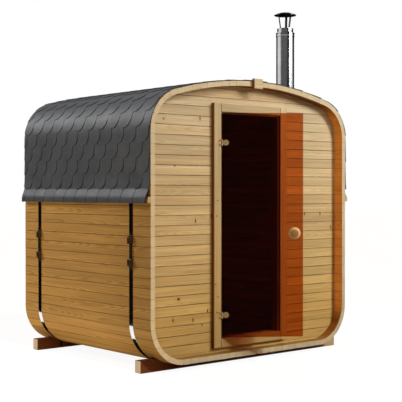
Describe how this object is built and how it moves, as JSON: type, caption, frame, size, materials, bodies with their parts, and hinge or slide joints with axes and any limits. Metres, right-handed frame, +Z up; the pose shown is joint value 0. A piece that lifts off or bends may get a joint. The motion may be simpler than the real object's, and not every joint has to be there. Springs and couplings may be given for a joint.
{
  "type": "cube sauna",
  "caption": "Outdoor sauna of staves bent into a rounded box with an arched shingled crown, steel bands, skids, a flue and a hinged glass door.",
  "frame": {"origin": "middle of the front skid's underside, on the ground", "axes": "+X right along the front, +Y from the front to the back, +Z up"},
  "size_m": [2.1706, 2.0838, 2.866],
  "materials": {
    "stave_wood": "planed spruce",
    "wall_wood": "planed spruce",
    "frame_wood": "planed spruce",
    "skid_wood": "stained timber",
    "knob_wood": "turned wood",
    "shingle": "mineral bitumen",
    "band_steel": "gloss black",
    "flue_steel": "polished stainless steel",
    "hinge_brass": "satin",
    "door_glass": "bronze tinted"
  },
  "bodies": {
    "root": {"skid_front": "skid_wood", "skid_back": "skid_wood", "floor_staves": "stave_wood", "corner_low_left": "stave_wood", "corner_low_right": "stave_wood", "side_staves_left": "stave_wood", "side_staves_right": "stave_wood", "corner_high_left": "stave_wood", "corner_high_right": "stave_wood", "crown_staves": "stave_wood", "front_wall_left": "wall_wood", "front_wall_right": "wall_wood", "front_wall_over_door": "wall_wood", "front_wall_under_door": "wall_wood", "back_wall": "wall_wood", "door_jamb_left": "frame_wood", "door_jamb_right": "frame_wood", "door_head": "frame_wood", "door_threshold": "frame_wood", "door_hinge_brackets": "hinge_brass", "shingles_crown": "shingle", "shingles_corner_left": "shingle", "shingles_corner_right": "shingle", "shingles_side_left": "shingle", "shingles_side_right": "shingle", "shingles_eave_left": "shingle", "shingles_eave_right": "shingle", "eave_batten_left": "frame_wood", "eave_batten_right": "frame_wood", "ridge_block_front": "frame_wood", "ridge_block_back": "frame_wood", "band_front_upper": "band_steel", "band_front_lower": "band_steel", "band_back_upper": "band_steel", "band_back_lower": "band_steel", "tensioner_front_left": "band_steel", "tensioner_front_right": "band_steel", "tensioner_back_left": "band_steel", "tensioner_back_right": "band_steel", "flue_pipe": "flue_steel", "flue_liner": "flue_steel", "flue_flashing": "flue_steel", "rain_cap": "flue_steel"},
    "door_leaf": {"door_glass": "door_glass", "door_hinge_clamps": "hinge_brass", "door_knobs": "knob_wood"}
  },
  "joints": [
    {"name": "door_hinge", "type": "hinge", "parent": "root", "child": "door_leaf", "pos_m": [-0.32, -0.111, 1], "axis": [0, 0, -1], "range_deg": [-34.5, 75]}
  ]
}
